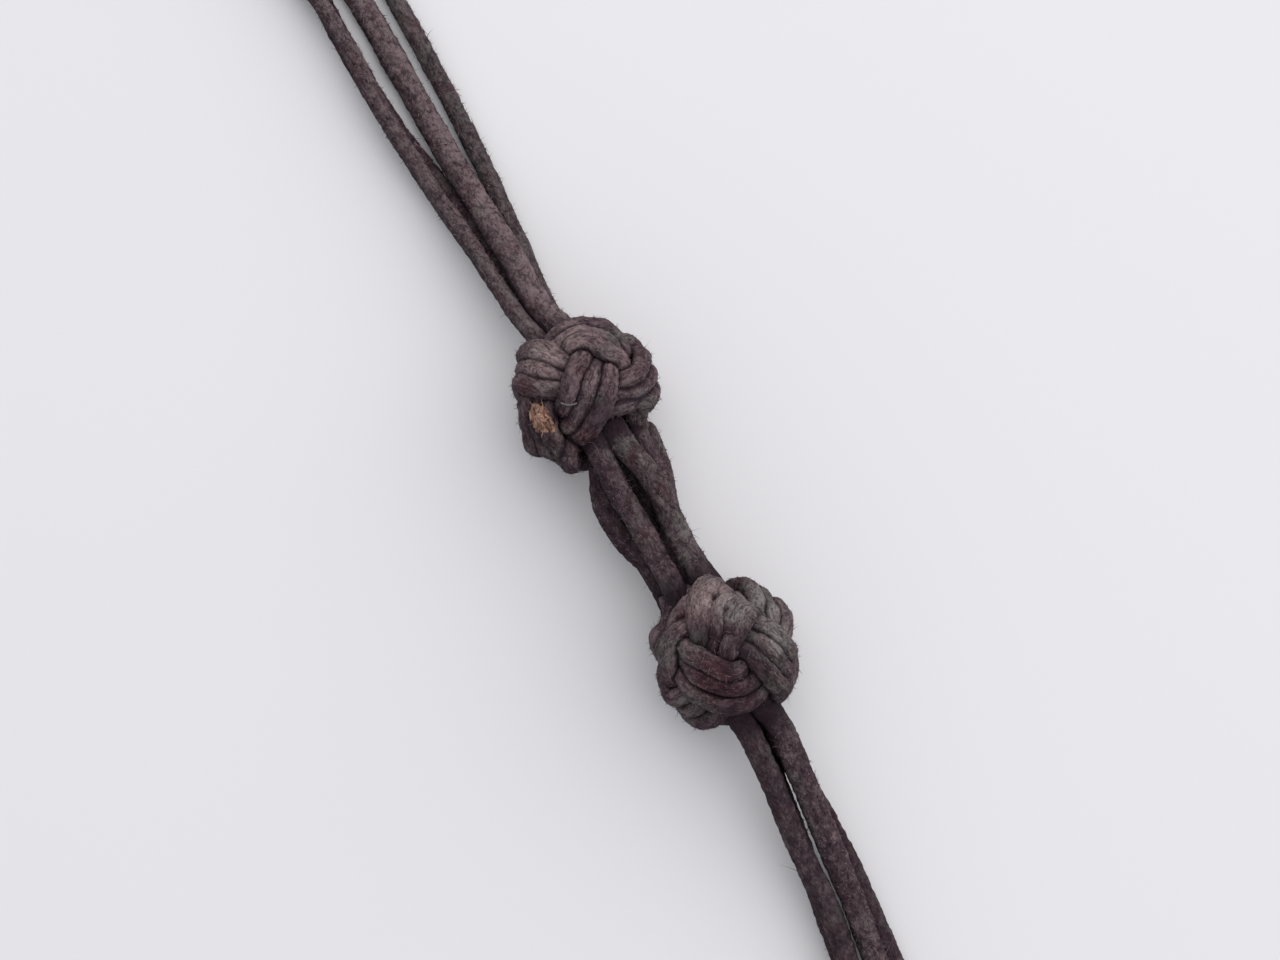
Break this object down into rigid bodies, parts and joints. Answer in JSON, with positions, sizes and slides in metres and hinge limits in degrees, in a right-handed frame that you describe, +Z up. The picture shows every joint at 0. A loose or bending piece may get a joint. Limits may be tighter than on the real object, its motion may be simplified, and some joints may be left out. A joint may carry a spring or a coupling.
{
  "type": "cord necklace with two sliding ball knots",
  "caption": "Necklace of waxed-cotton cords laid as one long loop, closed by woven ball knots that slide on the cords to set its length.",
  "frame": {"origin": "on the surface the necklace lies on, under the middle of the loop", "axes": "+X along the closure, from knot_a towards knot_b; +Y from the front of the loop towards the closure; +Z up off the surface"},
  "size_m": [0.253, 0.1668, 0.0103],
  "materials": {
    "ball_cord": "matt waxed cotton, dark purple brown with grey-green patches",
    "strand_cord": "matt waxed cotton, dark purple brown"
  },
  "bodies": {
    "root": {"knot_a": "ball_cord", "knot_b": "ball_cord", "strand_1": "strand_cord", "strand_2": "strand_cord", "strand_3": "strand_cord", "strand_4": "strand_cord"}
  },
  "joints": []
}
